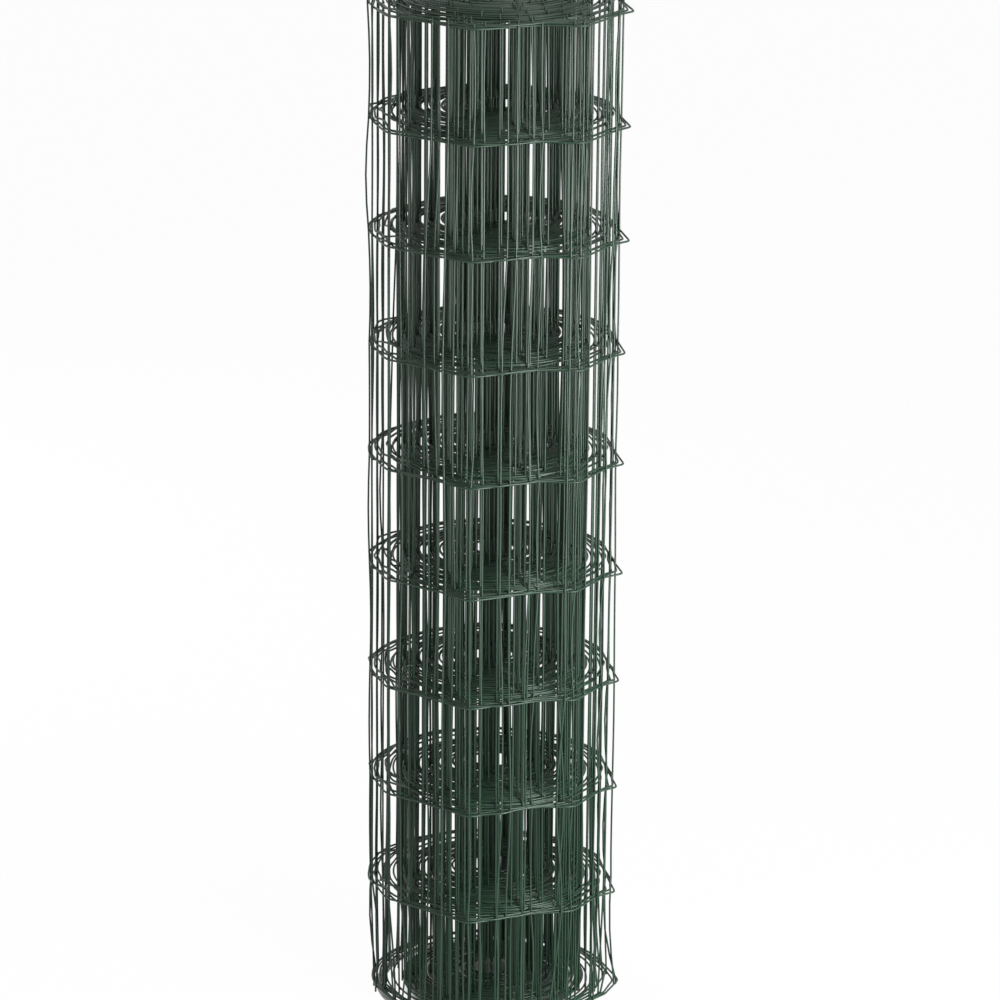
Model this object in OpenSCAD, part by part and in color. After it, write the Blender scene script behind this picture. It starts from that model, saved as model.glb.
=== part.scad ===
// Roll of welded wire mesh, standing on its end: one turned solid with an open bore.
// The tight inner turns are a packed core. The loose outer turns stand off it: their line wires
// are a thin ring at each level, with the stays of the outermost turn round the rings. The wound
// turns show on both ends as a spiral of thin walls, with open gaps between them.

/* [Roll] */
// Diameter over the line wires of the outermost turn
roll_diameter = 222; // [180:1:360]
// Diameter of the packed core inside the loose turns
core_diameter = 172; // [100:1:200]
// Diameter of the bore that the winding bar leaves along the axis
bore_diameter = 30; // [20:1:60]

/* [Mesh] */
// Diameter of the wire with its plastic coat
wire_diameter = 1.8; // [1.4:0.1:3]
// Number of line wires across the height of the mesh
line_count = 10; // [4:1:20]
// Spacing of the line wires, centre to centre
line_pitch = 100; // [40:5:150]
// Spacing of the stays along the mesh
stay_pitch = 50; // [25:5:100]
// Length of the cut stay ends past the centre of the outer line wires
stay_end = 5; // [3:0.5:12]

/* [Turns] */
// Spacing of the wound turns, centre to centre
turn_pitch = 4.5; // [4:0.1:9]

/* [Hidden] */
$fn = 96;

roll_height = (line_count - 1) * line_pitch + 2 * stay_end;
bore_radius = bore_diameter / 2;
// The line wires are sunk to half their thickness in the outermost turn's face
face_radius = (roll_diameter - wire_diameter) / 2;
// Room for two loose turns is left round the core
core_radius = min(core_diameter / 2, face_radius - 2 * turn_pitch);
// The stays bite into the line wires from the inside, as far as the welds sink them
stay_radius = face_radius - 0.8 * wire_diameter;
stay_count = floor(2 * PI * stay_radius / stay_pitch);

// The open gaps at an end are as deep as its stay ends reach on both sides of the line wire
turn_depth = 2 * stay_end;
turn_height = turn_depth + wire_diameter;
// The spiral is drawn from half circles on two centres, one on each side of the axis
centre_shift = turn_pitch / 4;

// Half section of one turn's wall of the wire's thickness, at both ends of the roll
module turn_section(inner_radius) {
  for (foot = [0, roll_height - turn_height])
    translate([inner_radius, foot])
      square([wire_diameter, turn_height]);
}

// Half section of the packed core, short of both ends by the open gaps
module core_section() {
  translate([bore_radius, turn_depth])
    square([core_radius - bore_radius, roll_height - 2 * turn_depth]);
}

// Half section of the loose turns' line wires: a thin ring at each level with a round wire outside
module line_wire_section() {
  for (level = [0 : line_count - 1])
    translate([0, stay_end + level * line_pitch]) {
      translate([core_radius - wire_diameter, -wire_diameter / 2])
        square([face_radius - core_radius + wire_diameter, wire_diameter]);
      translate([face_radius, 0])
        circle(d = wire_diameter);
    }
}

// Turned body: core, line wires, and the closed turns at the bore, round the core and outside
module turned_body() {
  rotate_extrude()
    union() {
      core_section();
      line_wire_section();
      turn_section(bore_radius);
      turn_section(core_radius - wire_diameter);
      turn_section(face_radius - wire_diameter);
    }
}

// Turns between two closed ones, wound inwards by half a pitch at each half turn
module wound_turns(outside, inside) {
  first = outside - turn_pitch - centre_shift;
  last = inside + turn_pitch + centre_shift;
  for (half_turn = [0 : 1 : floor((first - last) / (turn_pitch / 2))]) {
    odd = half_turn % 2;
    translate([centre_shift * (1 - 2 * odd), 0])
      rotate([0, 0, 180 * odd])
        rotate_extrude(angle = 180)
          turn_section(first - half_turn * turn_pitch / 2 - wire_diameter);
  }
}

// Stays of the outermost turn, from end to end
module outer_stays() {
  for (stay = [0 : stay_count - 1])
    rotate([0, 0, 360 * stay / stay_count])
      translate([stay_radius, 0])
        cylinder(d = wire_diameter, h = roll_height);
}

module mesh_roll() {
  color([0.10, 0.24, 0.17])
    union() {
      turned_body();
      wound_turns(face_radius, core_radius);
      wound_turns(core_radius, bore_radius + wire_diameter);
      outer_stays();
    }
}

mesh_roll();
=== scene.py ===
"""Roll of green coated welded wire mesh, drawn wire by wire around its turned solid.

The mesh is one long strip: level line wires with upright stays welded across them on
alternate faces. The strip is wound from a loose outer end into a tight middle.
"""

from math import pi, radians
from types import SimpleNamespace

import bpy
import numpy as np
from mathutils import Matrix, Vector


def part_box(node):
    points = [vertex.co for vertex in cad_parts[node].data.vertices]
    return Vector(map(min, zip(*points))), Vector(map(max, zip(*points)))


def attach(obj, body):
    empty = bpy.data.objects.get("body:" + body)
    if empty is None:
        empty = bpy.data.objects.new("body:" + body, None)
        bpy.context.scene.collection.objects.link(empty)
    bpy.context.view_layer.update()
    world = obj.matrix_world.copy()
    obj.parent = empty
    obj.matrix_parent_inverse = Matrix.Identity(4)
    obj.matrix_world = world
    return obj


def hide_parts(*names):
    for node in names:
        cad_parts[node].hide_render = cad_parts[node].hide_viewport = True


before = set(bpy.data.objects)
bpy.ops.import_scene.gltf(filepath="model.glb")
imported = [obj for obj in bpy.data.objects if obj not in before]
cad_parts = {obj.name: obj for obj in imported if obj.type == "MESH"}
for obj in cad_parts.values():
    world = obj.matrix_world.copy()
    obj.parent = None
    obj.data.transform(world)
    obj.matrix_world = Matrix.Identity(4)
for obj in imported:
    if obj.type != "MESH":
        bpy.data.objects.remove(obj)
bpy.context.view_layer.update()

bl_info = {
    "name": "Welded mesh roll",
    "version": (1, 0, 0),
    "blender": (4, 5, 0),
    "location": "3D View > Sidebar > Mesh Roll",
    "description": "Builds a wound roll of coated welded wire mesh, wire by wire",
    "category": "Object",
}

ROLL_NODE = "mesh_roll"
MM = 0.001

LOW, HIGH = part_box(ROLL_NODE)
ROLL_HEIGHT = HIGH.z - LOW.z

# Angles run anticlockwise from the right-hand side, seen from above, with 270 at the front.
# The outermost turn, stay by stay from the free end: angle, distance from the axis in mm in the
# top ring, the last ring but one and the lowest ring, and whether a stay is welded there. The one
# bare place is the loop that stands out at the right.
OUTER_TURN = (
    (100, 105, 105, 105, True), (129, 106, 106, 106, True), (158, 108, 108, 107, True),
    (186, 109, 108, 105.5, True), (213.5, 118, 105, 103, True), (237, 110.5, 96, 99.5, True),
    (260, 117, 117, 112, True), (290.5, 101, 95, 98, True), (308, 127, 108, 102, True),
    (332, 116, 106, 103, True), (341, 121, 117.5, 110, False), (358, 106, 106, 117, True),
    (385, 107, 107, 108, True), (411, 107, 107, 107, True), (438, 104, 104, 104, True),
)
# Its mean distance from the axis in mm
OUTER_MIDDLE = 106.0
# Angles of its corners at the front
FRONT_CORNERS = (260, 290.5, 308)
# Turns inside it that have the corners at the front and the loop at the right too
CORNER_TURNS = (1, 2, 3)
LOOP_TURNS = (1, 2)
# The winding inside it: distance from the axis, and shifts to the right and to the front, in mm
# after a number of turns. A close band of loose turns stands off the tight middle, which leans
# on it at the front, and one turn crosses the space between them.
INNER_TURNS = (
    (1.0, 107.0, 0.0, 0.3), (6.0, 97.0, 0.0, 1.0), (6.5, 93.5, -0.5, 4.0), (7.2, 89.0, -1.0, 8.0),
    (7.8, 82.5, -1.0, 14.0), (17.0, 66.0, -1.0, 12.0),
)
# Shifts of the innermost turn to the right and to the front in mm
INNERMOST_SHIFT = (0.0, 2.0)
# Places along the winding between which its length is summed up
WINDING_SAMPLES = 20001
# Spread of the length between stays, and place of the first stay inside the outermost turn, as
# shares of the stay pitch
LENGTH_SPREAD = 0.07
FIRST_STAY = 0.6

# First and last turn over which the mesh changes
LOOSE_TO_TIGHT = (0.9, 6.9)
STRAIGHT_TO_ROUND = (4.0, 7.0)
BAND_TO_MIDDLE = (6.0, 8.0)
# Turns up to which the loose band reaches, and up to which each turn has slid up past the last
BAND_TURNS = 7
SETTLED_TURNS = 14
# Sides of the roll: direction in degrees, and cosines of the angle off it for none and for all
TANGLE_SIDE = (190, 0.6, 0.85)
STRAIGHT_SIDE = (275, -0.2, 0.1)
DRAWN_SIDE = (350, 0.0, 1.0)
# The fan of the loose turns at the left and the right: cosines off them for none and for all, and
# the reach in mm after a number of turns
FAN_SIDES = (0.6, 0.9)
FAN_REACH = ((2.5, 5.5, 6.3, 7.2), (0.0, 5.0, 5.0, 0.0))
# Shift in mm of the foot of the tight middle to the right
FOOT_SHIFT = 4.4
# Distance between the middles of two welded wires, in wire diameters
WELD_OFFSET = 0.85
# In and out of the line wires in mm at stays on alternate faces: loose, and less when tight
ZIGZAG = (0.9, 0.4)
# Small random bends in mm, the same in all rings and of each ring's own. Where there are two
# numbers, the first is for the turns inside and the second for the outermost one.
SHARED_BEND = 0.35
OWN_BEND = (0.45, 0.9)
SHARED_RISE = (0.45, 0.1)
OWN_RISE = (0.4, 0.1)
# What the tangle at the left adds to them
TANGLE_BEND = 1.8
TANGLE_RISE = 3.0
# Waves between the stays in mm, in the loose band and added by the tangle, and their upward share
BAND_WAVE = 0.6
TANGLE_WAVE = 1.8
UPWARD_SHARE = 0.8
# Share of all this that is left in the lowest ring, where the loose turns lie on the floor
FLOOR_SHARE = 0.25
# Bows of the stays in mm, of all stays and added when loose, and how much more in the lowest cell
STAY_BOW = (0.1, 0.25)
FOOT_BOW = (3, 2)
# Bows in mm that the stays of the outermost turn have besides: at random, and inwards at the right
OUTER_BOW = 0.9
DRAWN_IN = 2.6

# Places across the roll, as the viewer sees it, where no stay stands in the way of the light:
# the middle and the half width in mm, and the cells that are open, counted from the top.
ALL_CELLS = (1, 2, 3, 4, 5, 6, 7, 8, 9)
SIGHT_GAPS = (
    (-105.4, 1.5, (1, 2, 3)), (-105.4, 1.2, (4, 5, 6, 7, 8)), (-103.0, 0.9, (9,)),
    (-100.5, 1.6, (1, 2, 3)), (-100.5, 1.3, (4, 5, 6, 7, 8)), (-98.3, 1.2, (9,)),
    (-95.5, 1.6, (1, 2, 3)), (-95.5, 1.3, (4, 5, 6, 7, 8)), (-93.2, 1.3, (9,)),
    (-89.6, 2.7, (1, 2, 3)), (-89.4, 2.0, (4, 5, 6, 7, 8)), (-87.6, 1.9, (9,)),
    (-63.5, 1.0, (1, 2, 5, 7, 8)), (-58.0, 0.8, (1, 5, 8)), (-46.0, 1.5, (1, 2, 5, 6)),
    (-34.5, 0.8, (4, 7, 8)), (-13.0, 0.8, (5, 6)), (8.0, 0.9, (1, 2, 7)), (17.0, 0.9, (5, 6)),
    (30.5, 1.2, (2, 5)), (43.0, 1.0, (2, 6)), (57.0, 1.0, (3, 7, 8)),
    (83.8, 1.9, ALL_CELLS), (94.8, 1.3, (5, 6, 7, 8, 9)), (100.0, 1.1, (5, 8, 9)),
    (106.0, 1.8, (6, 7, 8)),
)
# Left and right edge in mm, as the viewer sees it, of the tight middle
MIDDLE_SIGHT = (-87.0, 83.0)
# Fall of the line of sight along the depth of the roll
SIGHT_SLOPE = 0.34
# The foremost stays: turns that they are in, distance in front of the axis and room in mm
FOREMOST_TURNS = 4
FOREMOST_PLACE = 55
FOREMOST_ROOM = 8
# Widest chink that is left, in wire diameters, and furthest shift of a stay in mm
WIDEST_CHINK = 0.5
FURTHEST_SHIFT = 8
# Times that the gaps are freed and the chinks closed, and how many of them spread stays out first
SIGHT_PASSES = 90
SPREAD_PASSES = 16

# Steps of a line wire from node to node and of a stay from weld to weld, and sides of a wire
SEGMENT_STEPS = 8
CELL_STEPS = 4
WIRE_SIDES = 6
# Ring of the dome at a wire's end: distance past the end and radius, in wire radii
DOME_RING = (0.6, 0.75)
# Rings and sides of a weld bead
BEAD_RINGS = 3
BEAD_SIDES = 6
# Its half length and half height, and its half depth, in wire diameters
BEAD_REACH = 0.66
BEAD_DEPTH = 0.78

# Half width and half depth in mm of the painted shade of the tight middle on the floor, and its
# soft edge:
# an oval of set shape where the plain white is left out, so that the lit paper there shows its real
# shadow
SHADE_REACH = (73.0, 106.0)
SHADE_EDGE = (0.95, 1.08)
# Middle and half width in mm of the painted shade of the loose turns, a half ring of set shape on
# the floor at the left where the plain white is left out, with the share of the half width that is
# full and the half width in mm over which it ends
SHADE_RING = (98.5, 4.5)
RING_CORE = 0.85
RING_END = 20
# Half width of the floor in metres
FLOOR_REACH = 9.0
# Area lights: place, width and height in metres
KEY_LIGHT = ((1.1, -1.0, 0.38), 1.0, 0.55)
TOP_LIGHT = ((1.2, -1.3, 2.0), 1.4, 1.4)
BACK_LIGHT = ((-1.4, 1.2, 0.9), 1.4, 1.2)
# Width of the camera's frame in mm
FRAME_WIDTH = 36.0


def linear_colour(hex_colour):
    """Linear RGBA of an sRGB hex colour."""
    srgb = np.array([int(hex_colour[i:i + 2], 16) for i in (1, 3, 5)]) / 255
    linear = np.where(srgb <= 0.04045, srgb / 12.92, ((srgb + 0.055) / 1.055) ** 2.4)
    return (*linear.tolist(), 1.0)


class MeshRollSizes(bpy.types.PropertyGroup):
    """Sizes of the mesh and of the roll that it is wound into."""

    wire_diameter: bpy.props.FloatProperty(
        name="Wire diameter", description="Diameter of the wire with its coat",
        default=1.8 * MM, unit="LENGTH")
    line_count: bpy.props.IntProperty(
        name="Line wires", description="Number of level line wires across the height", default=10)
    stay_end: bpy.props.FloatProperty(
        name="Stay end", description="Length of the cut stay ends past the outer line wires",
        default=5 * MM, unit="LENGTH")
    stay_pitch: bpy.props.FloatProperty(
        name="Stay pitch", description="Spacing of the stays along the mesh",
        default=50 * MM, unit="LENGTH")
    mesh_length: bpy.props.FloatProperty(
        name="Mesh length", description="Length of the mesh before it is wound",
        default=15.0, unit="LENGTH")
    inner_radius: bpy.props.FloatProperty(
        name="Inner radius", description="Radius of the innermost turn",
        default=16.5 * MM, unit="LENGTH")
    corner_fade: bpy.props.FloatProperty(
        name="Corner fade",
        description="Turns after which the bends of the outermost turn die away", default=3.2)
    settle: bpy.props.FloatProperty(
        name="Settle",
        description="Height by which a loose turn has slid up past the one outside it",
        default=0.8 * MM, unit="LENGTH")
    seed: bpy.props.IntProperty(
        name="Seed", description="Seed of the small bends of the wires", default=7)


class CoatColours(bpy.types.PropertyGroup):
    """Colours of the plastic coat."""

    coat: bpy.props.FloatVectorProperty(
        name="Coat", description="Moss green of the coat", subtype="COLOR", size=4,
        default=linear_colour("#173726"))
    coat_dark: bpy.props.FloatVectorProperty(
        name="Dark coat", description="Coat where it is thickest and deepest in colour",
        subtype="COLOR", size=4, default=linear_colour("#102c1b"))


class StageSettings(bpy.types.PropertyGroup):
    """Light and camera."""

    world_level: bpy.props.FloatProperty(
        name="Fill", description="Strength of the even light from all round", default=0.16)
    key_power: bpy.props.FloatProperty(
        name="Key", description="Power of the large soft light at the front right", default=40.0,
        unit="POWER")
    top_power: bpy.props.FloatProperty(
        name="Top", description="Power of the large soft light higher up", default=29.0,
        unit="POWER")
    back_power: bpy.props.FloatProperty(
        name="Back", description="Power of the large soft light behind the roll at the left",
        default=30.0, unit="POWER")
    floor_white: bpy.props.FloatProperty(
        name="Floor white", description="Share of plain white in the floor as the viewer sees it",
        default=0.975, subtype="FACTOR")
    focal_length: bpy.props.FloatProperty(
        name="Focal length", description="Focal length of the lens on a 36 mm frame",
        default=178.4)
    viewer_distance: bpy.props.FloatProperty(
        name="Viewer distance", description="Distance of the lens from the axis of the roll",
        default=4.135, unit="LENGTH")
    viewer_height: bpy.props.FloatProperty(
        name="Viewer height", description="Height of the lens above the floor", default=1.8,
        unit="LENGTH")
    viewer_tilt: bpy.props.FloatProperty(
        name="Viewer tilt", description="Angle by which the lens looks down",
        default=radians(17.966), subtype="ANGLE")
    viewer_turn: bpy.props.FloatProperty(
        name="Viewer turn", description="Angle by which the lens looks to the right",
        default=radians(0.075), subtype="ANGLE")
    viewer_roll: bpy.props.FloatProperty(
        name="Viewer roll", description="Angle by which the lens leans to the left",
        default=radians(0.533), subtype="ANGLE")


def ramp(value, start, stop):
    """Share that is 0 up to the start, 1 from the stop on and a straight line between them."""
    return np.clip((value - start) / (stop - start), 0, 1)


def towards(angle, side):
    """Share of 0 to 1 by which places at an angle belong to a side: a ramp of the cosine off it."""
    direction, none, full = side
    return ramp(np.cos(angle - radians(direction)), none, full)


def line_pitch(size):
    """Spacing of the line wires over the height of the roll."""
    return (ROLL_HEIGHT - 2 * size.stay_end) / (size.line_count - 1)


def winding_nodes(size):
    """Angle, distance from the axis and turn number of the places where the mesh is bent.

    The outermost turn follows its list. Inside it the stays follow each other at the stay
    pitch: the angle grows by pitch over radius, and the radius falls in straight stretches
    with the number of turns.
    """
    angles, *ring_radii, welded = (np.array(column) for column in zip(*OUTER_TURN))
    turns, middles, right_shifts, front_shifts = np.array(INNER_TURNS).T
    total = round(size.mesh_length / size.stay_pitch) + 1
    inner_stays = total - int(welded.sum())
    # The tight middle takes up the length that the loose turns leave
    loose_length = pi * np.sum((middles[1:] + middles[:-1]) * np.diff(turns)) * MM
    tight_length = inner_stays * size.stay_pitch - loose_length
    tight_turns = tight_length / (pi * (middles[-1] * MM + size.inner_radius))
    turns = np.append(turns, turns[-1] + tight_turns)
    middles = np.append(middles, size.inner_radius / MM)
    right_shifts = np.append(right_shifts, INNERMOST_SHIFT[0])
    front_shifts = np.append(front_shifts, INNERMOST_SHIFT[1])
    turn = np.linspace(turns[0], turns[-1], WINDING_SAMPLES)
    radius = np.interp(turn, turns, middles)
    step = 2 * pi * (radius[1:] + radius[:-1]) / 2 * np.diff(turn) * MM
    length = np.concatenate([[0], np.cumsum(step)])
    # Small bends take up a varying part of the length between stays
    random = np.random.default_rng(size.seed)
    taken = np.cumsum(1 + LENGTH_SPREAD * random.normal(size=inner_stays))
    taken *= (inner_stays - 1) / taken[-1]
    stay_turn = np.interp((taken - 1 + FIRST_STAY) * size.stay_pitch, length, turn)

    free_end = angles[0]
    # The next turns have the bare loop at the right and the corners at the front too
    loop_turn = (angles[~welded][0] - free_end) / 360 + np.array(LOOP_TURNS)
    corner_turn = ((np.array(FRONT_CORNERS) - free_end) / 360)[:, None] + np.array(CORNER_TURNS)
    stay_turn = np.concatenate([stay_turn, loop_turn, corner_turn.ravel()])
    order = np.argsort(stay_turn)
    stay_turn = stay_turn[order]
    inner_welded = order < inner_stays
    # The bends of the outermost turn die away in the turns inside it
    inner_angle = free_end + 360 * stay_turn
    outer_bends = np.stack(ring_radii) - OUTER_MIDDLE
    bends = np.stack([np.interp(inner_angle % 360, angles % 360, bend, period=360)
                      for bend in outer_bends])
    bends *= np.exp(-stay_turn / size.corner_fade)
    inner_radius = (np.interp(stay_turn, turns, middles)
                    + np.interp(stay_turn, turns, right_shifts) * np.cos(np.radians(inner_angle))
                    - np.interp(stay_turn, turns, front_shifts) * np.sin(np.radians(inner_angle)))
    return SimpleNamespace(
        angle=np.radians(np.concatenate([angles, inner_angle])),
        middle=np.concatenate([np.full(len(angles), OUTER_MIDDLE), inner_radius]) * MM,
        bends=np.concatenate([outer_bends, bends], 1) * MM,
        turn=np.concatenate([(angles - free_end) / 360, stay_turn]),
        welded=np.concatenate([welded, inner_welded]))


def node_zones(size, node):
    """Which nodes lie inside the outermost turn, in the loose band and in its tangle.

    The depth goes from 0 in the outermost turn to 1 in the tight middle. The calm is the share of
    the bends that is left, ring by ring. Stays stand on the outer face of the line wires at odd
    places and on the inner face at even ones.
    """
    inner = node.turn >= 1
    band = inner & (node.turn < BAND_TURNS)
    off_floor = (np.arange(size.line_count) > 0)[:, None]
    stay_number = np.cumsum(node.welded) - 1
    return SimpleNamespace(
        inner=inner, band=band,
        calm=np.where(band & ~off_floor, FLOOR_SHARE, 1.0),
        tangle=towards(node.angle, TANGLE_SIDE) * band * off_floor,
        depth=ramp(node.turn, *LOOSE_TO_TIGHT),
        face=np.where(stay_number % 2, 1.0, -1.0),
        outward=np.stack([np.cos(node.angle), np.sin(node.angle)], 1))


def close_chinks(seen, chosen, limit, gap_middles):
    """Bring neighbours among the chosen stays that are further apart than the limit together.

    Each takes half of what is open past the limit. Neighbours on two sides of a gap stay.
    """
    order = chosen[np.argsort(seen[chosen])]
    line = seen[order]
    wanted = ((line[:-1, None] < gap_middles) & (line[1:, None] > gap_middles)).any(1)
    chink = np.where(wanted, 0, np.clip(np.diff(line) - limit, 0, None))
    line[:-1] += 0.5 * chink
    line[1:] -= 0.5 * chink
    seen[order] = line


def spread_out(seen, chosen, room):
    """Push neighbours among the chosen stays apart that have less than the given room."""
    order = chosen[np.argsort(seen[chosen])]
    line = seen[order]
    lacking = np.clip(room - np.diff(line), 0, None)
    line[:-1] -= 0.5 * lacking
    line[1:] += 0.5 * lacking
    seen[order] = line


def between_levels(values, place):
    """Values at fractional levels, one for each stay, on the straight line between levels."""
    low = np.clip(place.astype(int), 0, len(values) - 2)
    part = np.clip(place - low, 0, 1)
    stay = np.arange(values.shape[1])
    return values[low, stay] * (1 - part) + values[low + 1, stay] * part


def stay_sight_shift(spots, turn, viewer_distance, wire_diameter, lag):
    """Sideways shift, level by level, that keeps the sight gaps free and closes other chinks.

    A stay is seen where the level line from the viewer through it crosses the middle of the
    roll, x d / (d + y), and the viewer looks down, so that a stay further back is seen lower by
    its lag. One inside a gap that is open above or below the level in sight goes to the edge on
    the side of its mean place. Neighbours in the tight middle close their chinks, many times
    over, and the foremost stays keep apart.
    """
    levels = len(spots)
    far = (viewer_distance + spots[..., 1]) / viewer_distance
    first_seen = spots[..., 0] / far
    mean_seen = first_seen.mean(0)
    gaps = np.array([gap[:2] for gap in SIGHT_GAPS]) * MM
    gaps[:, 1] += wire_diameter / 2
    at_left = mean_seen < gaps[:, :1]
    open_cell = np.array([np.isin(np.arange(1, levels), gap[2]) for gap in SIGHT_GAPS])
    open_above = np.pad(open_cell, ((0, 0), (1, 0)))
    open_below = np.pad(open_cell, ((0, 0), (0, 1)))
    open_level = (open_above | open_below)[:, ::-1]
    in_middle = (mean_seen > MIDDLE_SIGHT[0] * MM) & (mean_seen < MIDDLE_SIGHT[1] * MM)
    middle = np.flatnonzero(in_middle)
    in_front = (turn < FOREMOST_TURNS) & (spots[0, :, 1] < -FOREMOST_PLACE * MM)
    foremost = np.flatnonzero(in_front & in_middle)
    places = []
    for level in range(levels + 1):
        held = open_level[:, min(level, levels - 1)]
        seen = between_levels(first_seen, level - lag)
        for passes in range(SIGHT_PASSES):
            if passes < SPREAD_PASSES:
                spread_out(seen, foremost, FOREMOST_ROOM * MM)
            close_chinks(seen, middle, WIDEST_CHINK * wire_diameter, gaps[held, 0])
            for (centre, half), left in zip(gaps[held], at_left[held]):
                left_place = np.minimum(seen, centre - half)
                right_place = np.maximum(seen, centre + half)
                seen = np.where(left, left_place, right_place)
        places.append(seen)
    shift = between_levels(np.array(places), np.arange(levels)[:, None] + lag) - first_seen
    # The lowest ring of the loose turns lies close on the floor
    shift[0, ~in_middle] = 0
    return np.clip(shift, -FURTHEST_SHIFT * MM, FURTHEST_SHIFT * MM) * far


def node_spots(size, node, zone, viewer_distance, random):
    """Places of the nodes of each ring, seen from above.

    The distance from the axis is the winding's, plus the bends of the outermost turn, on the
    straight line from the top ring to the last but one, plus the way in and out at the stays and
    small random bends. The stays then move sideways for the gaps that the viewer sees.
    """
    levels = size.line_count
    count = len(node.angle)
    loose_zigzag, tight_drop = ZIGZAG
    zigzag = -zone.face * np.where(zone.inner, loose_zigzag - tight_drop * zone.depth, 0) * MM
    top_bend, low_bend, foot_bend = node.bends
    height_share = np.linspace(-1 / (levels - 2), 1, levels)[:, None]
    corner = low_bend + height_share * (top_bend - low_bend)
    corner[0] = foot_bend
    shared = random.normal(size=count) * SHARED_BEND * MM
    own_bend = np.where(zone.inner, *OWN_BEND) + TANGLE_BEND * zone.tangle
    own = random.normal(size=(levels, count)) * own_bend * MM
    # At both sides the loose turns fan out towards the tight middle
    fan = np.interp(node.turn, *FAN_REACH) * ramp(np.abs(np.cos(node.angle)), *FAN_SIDES) * MM
    radius = node.middle + corner + zone.calm * (zigzag + shared + own - fan)
    spot = radius[:, :, None] * zone.outward
    # The tight middle leans: its foot stands further to the right than its top
    lean = 1 - np.linspace(0, 1, levels)[:, None]
    spot[..., 0] += FOOT_SHIFT * MM * lean * ramp(node.turn, *BAND_TO_MIDDLE)

    weld_offset = WELD_OFFSET * size.wire_diameter
    stay_guess = (spot + (zone.face * weld_offset)[:, None] * zone.outward)[:, node.welded]
    behind = stay_guess[..., 1].mean(0) - stay_guess[..., 1].min()
    lag = behind * SIGHT_SLOPE / line_pitch(size)
    spot[:, node.welded, 0] += stay_sight_shift(
        stay_guess, node.turn[node.welded], viewer_distance, size.wire_diameter, lag)
    return spot


def node_rises(size, node, zone, random):
    """Heights of the nodes above the level of their ring, never less than nothing.

    The turns have slid past each other, so that each stands higher than the one outside it by
    the settle, up to a number of turns, plus small random rises.
    """
    shared_rise = np.where(zone.inner, *SHARED_RISE)
    waves = random.normal(size=len(node.turn)) * shared_rise * MM
    own_rise = np.where(zone.inner, *OWN_RISE) + TANGLE_RISE * zone.tangle
    lift = random.normal(size=own_rise.shape) * own_rise * MM
    return np.clip(size.settle * np.clip(node.turn, 0, SETTLED_TURNS) + waves + lift, 0, None)


def line_paths(size, node, zone, spot, rise, random):
    """Paths of the line wires through the nodes of their rings.

    Between nodes a line wire is a straight line at the front and the sides of the loose turns,
    and elsewhere an arc, with radius and angle in proportion. Three sine waves between the
    nodes, zero at both, bend the loose ones inwards and up. A weighted mean of neighbouring
    points rounds the corners.
    """
    levels, count = rise.shape
    share = (np.arange(SEGMENT_STEPS) / SEGMENT_STEPS)[None, None, :]
    start, stop = spot[:, :-1, None], spot[:, 1:, None]
    straight = start + (stop - start) * share[..., None]
    start_radius = np.linalg.norm(start, axis=3)
    way_radius = start_radius + (np.linalg.norm(stop, axis=3) - start_radius) * share
    start_angle = np.arctan2(start[..., 1], start[..., 0])
    sweep = (np.arctan2(stop[..., 1], stop[..., 0]) - start_angle) % (2 * pi)
    way_angle = start_angle + sweep * share
    curved = way_radius[..., None] * np.stack([np.cos(way_angle), np.sin(way_angle)], -1)
    taut = towards(node.angle, STRAIGHT_SIDE) * (1 - ramp(node.turn, *STRAIGHT_TO_ROUND))
    taut = taut[None, :-1, None, None]
    way = straight * taut + curved * (1 - taut)
    rise_way = rise[:, :-1, None] * (1 - share) + rise[:, 1:, None] * share

    reach = (BAND_WAVE * zone.band + TANGLE_WAVE * zone.tangle) * zone.calm * MM
    reach = ((reach[:, 1:] + reach[:, :-1]) / 2)[..., None]
    reach = reach * np.clip(np.linalg.norm(stop - start, axis=3) / size.stay_pitch, 0, 1)
    waves = [random.normal(size=(2, levels, count - 1, 1)) * np.sin(halves * pi * share) / halves
             for halves in (1, 2, 3)]
    inward_wave, upward_wave = reach * np.sum(waves, 0)
    way = way * (1 - np.abs(inward_wave) / np.linalg.norm(way, axis=3))[..., None]
    rise_way = rise_way + UPWARD_SHARE * upward_wave

    way = np.concatenate([way.reshape(levels, -1, 2), spot[:, -1:]], 1)
    rise_way = np.concatenate([rise_way.reshape(levels, -1), rise[:, -1:]], 1)
    height = size.stay_end + line_pitch(size) * np.arange(levels)[:, None] + rise_way
    lines = np.concatenate([way, height[:, :, None]], 2)
    padded = np.pad(lines, ((0, 0), (1, 1), (0, 0)), mode="edge")
    return (padded[:, :-2] + 2 * padded[:, 1:-1] + padded[:, 2:]) / 4


def stay_bows(size, node, zone, random):
    """Sideways bows of the stays between their welds, cell by cell from the foot up.

    Loose stays have larger random bows than tight ones, and all have their largest in the
    lowest cell. The stays of the outermost turn are drawn in at the right.
    """
    loose = 1 - zone.depth[node.welded]
    outermost = ~zone.inner[node.welded]
    any_bow, loose_bow = STAY_BOW
    any_foot, loose_foot = FOOT_BOW
    bow = random.normal(size=(size.line_count - 1, len(loose), 2))
    bow *= (any_bow + loose_bow * loose)[None, :, None] * MM
    bow[0] *= any_foot + loose_foot * loose[:, None]
    drawn_in = DRAWN_IN * MM * towards(node.angle[node.welded], DRAWN_SIDE) * outermost
    bow -= drawn_in[:, None] * zone.outward[node.welded]
    bow += random.normal(size=bow.shape) * OUTER_BOW * MM * outermost[:, None]
    return bow


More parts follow.
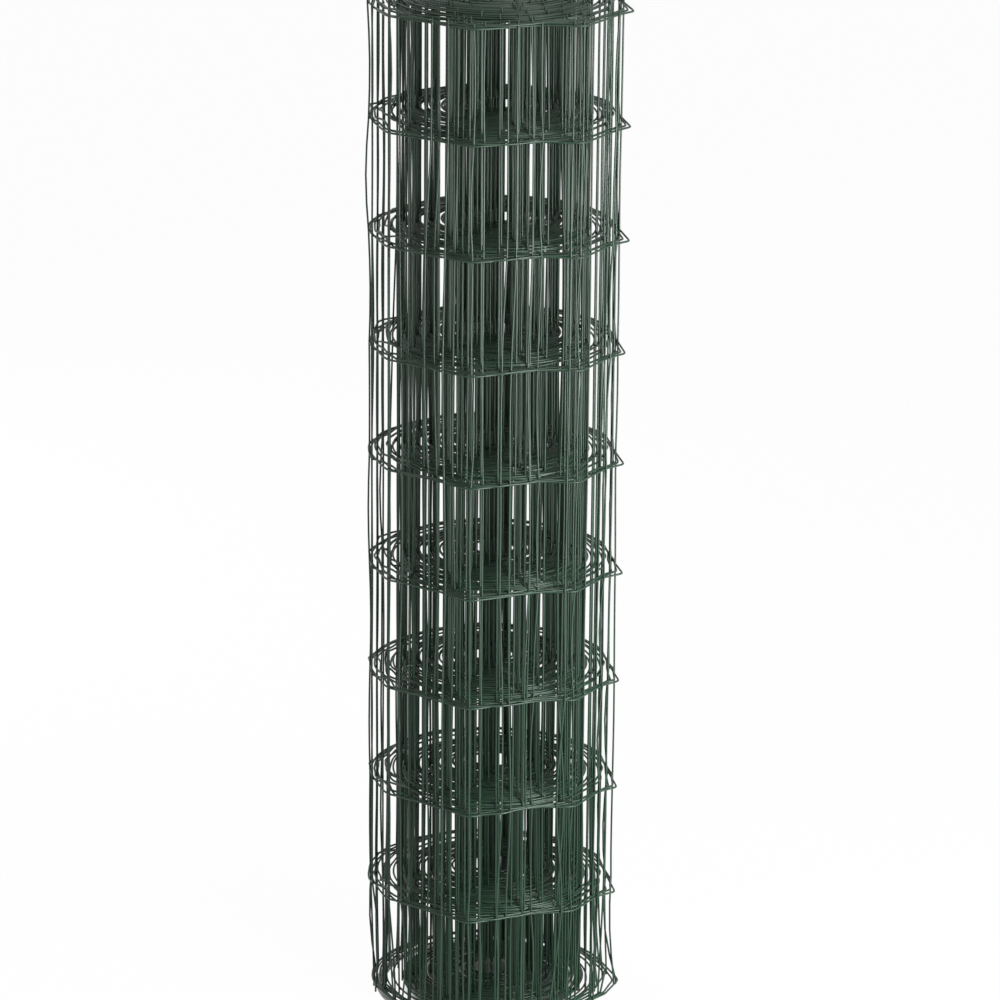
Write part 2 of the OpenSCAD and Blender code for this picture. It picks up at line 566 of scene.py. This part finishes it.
def wound_mesh(size, viewer_distance):
    """Paths of the line wires, and the welds, directions and bows of the stays on them.

    At a weld the stay stands off the middle of its line wire by the weld offset, outwards or
    inwards along the normal, which is the path's direction turned by a right angle.
    """
    random = np.random.default_rng(size.seed)
    node = winding_nodes(size)
    zone = node_zones(size, node)
    spot = node_spots(size, node, zone, viewer_distance, random)
    rise = node_rises(size, node, zone, random)
    lines = line_paths(size, node, zone, spot, rise, random)

    stays = np.flatnonzero(node.welded) * SEGMENT_STEPS
    along = np.gradient(lines[..., :2], axis=1)
    along /= np.linalg.norm(along, axis=2, keepdims=True)
    along = along[:, stays]
    normal = np.stack([along[..., 1], -along[..., 0]], -1)
    crossings = lines[:, stays]
    stay_spots = crossings.copy()
    offset = zone.face[node.welded] * WELD_OFFSET * size.wire_diameter
    stay_spots[..., :2] += normal * offset[None, :, None]
    return SimpleNamespace(
        lines=lines, crossings=crossings, stays=stay_spots, normal=normal, along=along,
        bow=stay_bows(size, node, zone, random))


def stay_paths(mesh, size):
    """Paths of the stays: a cubic through the welds, with a sine bow in each cell and cut ends.

    Between two welds the path is the cubic whose slope at a weld is half the step between its
    neighbours. The ends run straight up and down past the outer line wires.
    """
    knots = mesh.stays
    slope = np.gradient(knots, axis=0)
    u = (np.arange(CELL_STEPS) / CELL_STEPS)[None, :, None, None]
    p, q = knots[:-1, None], knots[1:, None]
    m, n = slope[:-1, None], slope[1:, None]
    cells = ((2 * u ** 3 - 3 * u ** 2 + 1) * p + (u ** 3 - 2 * u ** 2 + u) * m
             + (3 * u ** 2 - 2 * u ** 3) * q + (u ** 3 - u ** 2) * n)
    cells[..., :2] += np.sin(pi * u) * mesh.bow[:, None]
    path = cells.reshape(-1, *knots.shape[1:])
    foot, head = knots[:1].copy(), knots[-1:].copy()
    foot[..., 2] -= size.stay_end - size.wire_diameter / 2
    tip = head.copy()
    tip[..., 2] += size.stay_end - size.wire_diameter / 2
    return np.concatenate([foot, path, head, tip]).transpose(1, 0, 2)


def wire_surface(paths, radius, reference):
    """Round wires along paths of the same number of points, as vertices, quads and triangles.

    Each point carries a ring in the plane across the path, spanned by the cross products of
    the path's direction with the reference. A smaller ring and a pole close each end as a dome.
    """
    wires, points = paths.shape[:2]
    along = np.gradient(paths, axis=1)
    along /= np.linalg.norm(along, axis=2, keepdims=True)
    first, last = along[:, :1], along[:, -1:]
    past_end, dome_radius = (share * radius for share in DOME_RING)
    centres = np.concatenate([
        paths[:, :1] - past_end * first, paths, paths[:, -1:] + past_end * last], 1)
    along = np.concatenate([first, along, last], 1)
    across = np.cross(along, np.array(reference, float))
    across /= np.linalg.norm(across, axis=2, keepdims=True)
    third = np.cross(along, across)
    scale = np.full(points + 2, radius)
    scale[[0, -1]] = dome_radius
    angle = 2 * pi * np.arange(WIRE_SIDES) / WIRE_SIDES
    ring = (np.cos(angle)[:, None] * across[:, :, None]
            + np.sin(angle)[:, None] * third[:, :, None])
    rings = centres[:, :, None] + scale[:, None, None] * ring
    poles = np.stack([paths[:, 0] - radius * first[:, 0], paths[:, -1] + radius * last[:, 0]], 1)
    vertices = np.concatenate([rings.reshape(-1, 3), poles.reshape(-1, 3)])

    index = np.arange(wires * (points + 2) * WIRE_SIDES).reshape(wires, points + 2, WIRE_SIDES)
    after = np.roll(index, -1, axis=2)
    quads = np.stack([index[:, :-1], after[:, :-1], after[:, 1:], index[:, 1:]], -1).reshape(-1, 4)
    pole = index.size + np.arange(wires * 2).reshape(wires, 2)
    start_pole = np.repeat(pole[:, :1], WIRE_SIDES, 1)
    end_pole = np.repeat(pole[:, 1:], WIRE_SIDES, 1)
    triangles = np.concatenate([
        np.stack([start_pole, after[:, 0], index[:, 0]], -1).reshape(-1, 3),
        np.stack([end_pole, index[:, -1], after[:, -1]], -1).reshape(-1, 3),
    ])
    return vertices, quads, triangles


def bead_surface(mesh, size):
    """Weld beads as vertices, quads and triangles: a low ball stretched over each crossing.

    A ball of a few rings is scaled along the line wire, outwards and upwards, and set half-way
    between the middles of the two wires.
    """
    lift = pi * np.arange(1, BEAD_RINGS + 1) / (BEAD_RINGS + 1)
    turn = 2 * pi * np.arange(BEAD_SIDES) / BEAD_SIDES
    ball = np.stack([
        np.sin(lift)[:, None] * np.cos(turn), np.sin(lift)[:, None] * np.sin(turn),
        np.repeat(-np.cos(lift)[:, None], BEAD_SIDES, 1),
    ], -1).reshape(-1, 3)
    ball = np.concatenate([ball, [[0, 0, -1], [0, 0, 1]]])
    centre = ((mesh.crossings + mesh.stays) / 2).reshape(-1, 1, 3)
    outward = np.pad(mesh.normal.reshape(-1, 2), ((0, 0), (0, 1)))[:, None]
    along = np.pad(mesh.along.reshape(-1, 2), ((0, 0), (0, 1)))[:, None]
    upward = np.array([0, 0, 1.0])
    reach = BEAD_REACH * size.wire_diameter
    depth = BEAD_DEPTH * size.wire_diameter
    place = (centre + depth * ball[None, :, :1] * outward + reach * ball[None, :, 1:2] * along
             + reach * ball[None, :, 2:] * upward)
    grid = np.arange(BEAD_RINGS * BEAD_SIDES).reshape(BEAD_RINGS, BEAD_SIDES)
    after = np.roll(grid, -1, axis=1)
    quads = np.stack([grid[:-1], after[:-1], after[1:], grid[1:]], -1).reshape(-1, 4)
    south, north = grid.size, grid.size + 1
    triangles = np.concatenate([
        np.stack([np.full(BEAD_SIDES, south), after[0], grid[0]], -1),
        np.stack([np.full(BEAD_SIDES, north), grid[-1], after[-1]], -1),
    ])
    shift = (np.arange(len(place)) * len(ball))[:, None, None]
    all_quads = (quads[None] + shift).reshape(-1, 4)
    all_triangles = (triangles[None] + shift).reshape(-1, 3)
    return place.reshape(-1, 3), all_quads, all_triangles


def add_piece(name, surface, material):
    """A smooth mesh piece from vertices, quads and triangles, riding on the roll's body."""
    vertices, quads, triangles = surface
    data = bpy.data.meshes.new(name)
    data.vertices.add(len(vertices))
    data.vertices.foreach_set("co", vertices.astype(np.float32).ravel())
    corners = np.concatenate([quads.ravel(), triangles.ravel()]).astype(np.int32)
    data.loops.add(len(corners))
    data.loops.foreach_set("vertex_index", corners)
    sizes = np.concatenate([np.full(len(quads), 4), np.full(len(triangles), 3)])
    data.polygons.add(len(sizes))
    data.polygons.foreach_set("loop_start", (np.cumsum(sizes) - sizes).astype(np.int32))
    data.polygons.foreach_set("use_smooth", np.ones(len(sizes), bool))
    data.update(calc_edges=True)
    if data.validate():
        raise RuntimeError(f"{name} has faces that don't hold together")
    data.materials.append(material)
    piece = bpy.data.objects.new(name, data)
    bpy.context.scene.collection.objects.link(piece)
    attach(piece, "root")
    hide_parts(ROLL_NODE)


def add_node(tree, kind, links=None, **settings):
    """A node with its settings; links give an input's name a value or another node's output."""
    node = tree.nodes.new(kind)
    for name, value in settings.items():
        setattr(node, name, value)
    for name, value in (links or {}).items():
        if isinstance(value, bpy.types.NodeSocket):
            tree.links.new(value, node.inputs[name])
        else:
            node.inputs[name].default_value = value
    return node


def add_math(tree, operation, *values):
    """Output of a math node on one or two values or other nodes' outputs."""
    links = dict(enumerate(values))
    return add_node(tree, "ShaderNodeMath", links, operation=operation).outputs[0]


def pvc_coat(colours):
    """Soft PVC, sintered on to the galvanised wire in a bed of powder.

    The powder melts to a smooth semi-gloss skin with a faint orange peel. It is a deep moss
    green with a broad, soft highlight, and a little darker where the skin is thicker.
    """
    material = bpy.data.materials.get("sintered_pvc_coat")
    if material:
        return material
    material = bpy.data.materials.new("sintered_pvc_coat")
    material.use_nodes = True
    tree = material.node_tree
    tree.nodes.clear()
    place = add_node(tree, "ShaderNodeTexCoord").outputs["Object"]
    patch_size, peel_size = 35 * MM, 0.9 * MM
    patches = add_node(tree, "ShaderNodeTexNoise", {
        "Vector": place, "Scale": 1 / patch_size, "Detail": 2.0})
    tone = add_node(tree, "ShaderNodeMix", {
        "Factor": patches.outputs["Fac"], "A": colours.coat_dark, "B": colours.coat},
        data_type="RGBA")
    peel = add_node(tree, "ShaderNodeTexNoise", {
        "Vector": place, "Scale": 1 / peel_size, "Detail": 1.0})
    bump = add_node(tree, "ShaderNodeBump", {
        "Height": peel.outputs["Fac"], "Strength": 0.15, "Distance": 0.05 * MM})
    gloss = add_node(tree, "ShaderNodeMapRange", {
        "Value": patches.outputs["Fac"], "To Min": 0.34, "To Max": 0.44})
    shader = add_node(tree, "ShaderNodeBsdfPrincipled", {
        "Base Color": tone.outputs["Result"], "Roughness": gloss.outputs["Result"], "IOR": 1.5,
        "Normal": bump.outputs["Normal"]})
    add_node(tree, "ShaderNodeOutputMaterial", {"Surface": shader.outputs["BSDF"]})
    return material


def seen_directly(tree):
    """Output that is 1 for rays from the lens, mirrored rays and rays through glass."""
    rays = add_node(tree, "ShaderNodeLightPath").outputs
    shiny = add_math(tree, "MAXIMUM", rays["Is Camera Ray"], rays["Is Glossy Ray"])
    return add_math(tree, "MAXIMUM", shiny, rays["Is Transmission Ray"])


def white_floor(stage):
    """Matt white paper: plain white to the viewer, with the roll's shadow kept on it.

    The plain white is left out in a painted shade of set shape, an oval under the tight middle and
    a half ring under the loose turns at the left, so that the lit paper there shows its real
    shadow.
    """
    material = bpy.data.materials.new("white_paper_floor")
    material.use_nodes = True
    tree = material.node_tree
    tree.nodes.clear()
    paper = add_node(tree, "ShaderNodeBsdfDiffuse", {"Color": linear_colour("#e8e8e8")})
    glow = add_node(tree, "ShaderNodeEmission", {
        "Color": linear_colour("#ffffff"), "Strength": 1.0})
    place = add_node(tree, "ShaderNodeTexCoord").outputs["Object"]
    # Painted shade: an oval and a half ring of set shape where the plain white is left out; inside
    # them the lit paper shows its real shadow
    reach = [1 / (half * MM) for half in SHADE_REACH]
    oval = add_node(tree, "ShaderNodeVectorMath", {0: place, 1: (*reach, 1.0)},
                    operation="MULTIPLY")
    off_axis = add_node(tree, "ShaderNodeVectorMath", {0: oval.outputs["Vector"]},
                        operation="LENGTH")
    open_floor = add_node(tree, "ShaderNodeMapRange", {
        "Value": off_axis.outputs["Value"], "From Min": SHADE_EDGE[0], "From Max": SHADE_EDGE[1],
        "To Max": stage.floor_white})
    ring_middle, ring_half = (length * MM for length in SHADE_RING)
    from_axis = add_node(tree, "ShaderNodeVectorMath", {0: place}, operation="LENGTH")
    past_ring = add_math(tree, "SUBTRACT", from_axis.outputs["Value"], ring_middle)
    off_ring = add_node(tree, "ShaderNodeMapRange", {
        "Value": add_math(tree, "ABSOLUTE", past_ring), "From Min": RING_CORE * ring_half,
        "From Max": ring_half})
    sideways = add_node(tree, "ShaderNodeSeparateXYZ", {"Vector": place})
    at_right = add_node(tree, "ShaderNodeMapRange", {
        "Value": sideways.outputs["X"], "From Min": -RING_END * MM, "From Max": RING_END * MM})
    off_half_ring = add_math(
        tree, "MAXIMUM", off_ring.outputs["Result"], at_right.outputs["Result"])
    outside_painted_shade = add_math(tree, "MULTIPLY", open_floor.outputs["Result"], off_half_ring)
    share = add_math(tree, "MULTIPLY", seen_directly(tree), outside_painted_shade)
    mix = add_node(tree, "ShaderNodeMixShader", {
        0: share, 1: paper.outputs["BSDF"], 2: glow.outputs["Emission"]})
    add_node(tree, "ShaderNodeOutputMaterial", {"Surface": mix.outputs["Shader"]})
    return material


class MESHROLL_OT_line_wires(bpy.types.Operator):
    """Draw the level line wires, the upper half and the lower half as two pieces"""

    bl_idname = "meshroll.line_wires"
    bl_label = "Line wires"

    def execute(self, context):
        scene = context.scene
        size = scene.mesh_roll_sizes
        lines = wound_mesh(size, scene.mesh_roll_stage.viewer_distance).lines
        half = size.line_count // 2
        coat = pvc_coat(scene.mesh_roll_colours)
        for name, paths in (("lower_line_wires", lines[:half]), ("upper_line_wires", lines[half:])):
            add_piece(name, wire_surface(paths, size.wire_diameter / 2, (0, 0, 1)), coat)
        return {"FINISHED"}


class MESHROLL_OT_stay_wires(bpy.types.Operator):
    """Draw the upright stays"""

    bl_idname = "meshroll.stay_wires"
    bl_label = "Stay wires"

    def execute(self, context):
        scene = context.scene
        size = scene.mesh_roll_sizes
        mesh = wound_mesh(size, scene.mesh_roll_stage.viewer_distance)
        surface = wire_surface(stay_paths(mesh, size), size.wire_diameter / 2, (1, 0, 0))
        add_piece("stay_wires", surface, pvc_coat(scene.mesh_roll_colours))
        return {"FINISHED"}


class MESHROLL_OT_weld_beads(bpy.types.Operator):
    """Draw the coated weld beads where the wires cross"""

    bl_idname = "meshroll.weld_beads"
    bl_label = "Weld beads"

    def execute(self, context):
        scene = context.scene
        size = scene.mesh_roll_sizes
        mesh = wound_mesh(size, scene.mesh_roll_stage.viewer_distance)
        add_piece("weld_beads", bead_surface(mesh, size), pvc_coat(scene.mesh_roll_colours))
        return {"FINISHED"}


class MESHROLL_OT_stage(bpy.types.Operator):
    """Set up the floor, the soft lights and the camera"""

    bl_idname = "meshroll.stage"
    bl_label = "Stage"

    def execute(self, context):
        scene = context.scene
        stage = scene.mesh_roll_stage
        data = bpy.data.meshes.new("floor")
        corners = [(x * FLOOR_REACH, y * FLOOR_REACH, 0)
                   for x, y in ((-1, -1), (1, -1), (1, 1), (-1, 1))]
        data.from_pydata(corners, [], [(0, 1, 2, 3)])
        data.materials.append(white_floor(stage))
        floor = bpy.data.objects.new("floor", data)
        scene.collection.objects.link(floor)

        world = bpy.data.worlds.new("white_room")
        world.use_nodes = True
        tree = world.node_tree
        tree.nodes.clear()
        level = add_node(tree, "ShaderNodeMapRange", {
            "Value": seen_directly(tree), "To Min": stage.world_level, "To Max": 1.0})
        sky = add_node(tree, "ShaderNodeBackground", {
            "Color": linear_colour("#ffffff"), "Strength": level.outputs["Result"]})
        add_node(tree, "ShaderNodeOutputWorld", {"Surface": sky.outputs["Background"]})
        scene.world = world

        middle = Vector((0, 0, ROLL_HEIGHT / 2))
        lamps = (
            ("key_light", KEY_LIGHT, stage.key_power, True),
            ("top_light", TOP_LIGHT, stage.top_power, True),
            ("back_light", BACK_LIGHT, stage.back_power, False),
        )
        for name, (spot, width, height), power, has_highlights in lamps:
            lamp = bpy.data.lights.new(name, "AREA")
            lamp.shape = "RECTANGLE"
            lamp.size = width
            lamp.size_y = height
            lamp.energy = power
            holder = bpy.data.objects.new(name, lamp)
            holder.location = spot
            holder.rotation_euler = (middle - Vector(spot)).to_track_quat("-Z", "Y").to_euler()
            holder.visible_camera = False
            holder.visible_glossy = has_highlights
            scene.collection.objects.link(holder)

        lens = bpy.data.cameras.new("viewer")
        lens.lens = stage.focal_length
        lens.sensor_width = FRAME_WIDTH
        viewer = bpy.data.objects.new("viewer", lens)
        turned = (Matrix.Rotation(-stage.viewer_turn, 4, "Z")
                  @ Matrix.Rotation(pi / 2 - stage.viewer_tilt, 4, "X")
                  @ Matrix.Rotation(stage.viewer_roll, 4, "Z"))
        place = Matrix.Translation((0, -stage.viewer_distance, stage.viewer_height))
        viewer.matrix_world = place @ turned
        scene.collection.objects.link(viewer)
        scene.camera = viewer
        scene.view_settings.view_transform = "Standard"
        return {"FINISHED"}


class MESHROLL_PT_panel(bpy.types.Panel):
    """Sizes, colours and steps of the mesh roll"""

    bl_idname = "MESHROLL_PT_panel"
    bl_label = "Mesh Roll"
    bl_space_type = "VIEW_3D"
    bl_region_type = "UI"
    bl_category = "Mesh Roll"

    def draw(self, context):
        for name, group in GROUPS:
            box = self.layout.box()
            for setting in group.__annotations__:
                box.prop(getattr(context.scene, name), setting)
        for step in STEPS:
            self.layout.operator(step.bl_idname)


GROUPS = (
    ("mesh_roll_sizes", MeshRollSizes),
    ("mesh_roll_colours", CoatColours),
    ("mesh_roll_stage", StageSettings),
)
STEPS = (MESHROLL_OT_line_wires, MESHROLL_OT_stay_wires, MESHROLL_OT_weld_beads, MESHROLL_OT_stage)
CLASSES = (*(group for name, group in GROUPS), *STEPS, MESHROLL_PT_panel)


def register():
    for item in CLASSES:
        bpy.utils.register_class(item)
    for name, group in GROUPS:
        setattr(bpy.types.Scene, name, bpy.props.PointerProperty(type=group))


def unregister():
    for name, group in GROUPS:
        delattr(bpy.types.Scene, name)
    for item in reversed(CLASSES):
        bpy.utils.unregister_class(item)


def main():
    register()
    bpy.ops.meshroll.line_wires()
    bpy.ops.meshroll.stay_wires()
    bpy.ops.meshroll.weld_beads()
    bpy.ops.meshroll.stage()


if __name__ == "__main__":
    main()
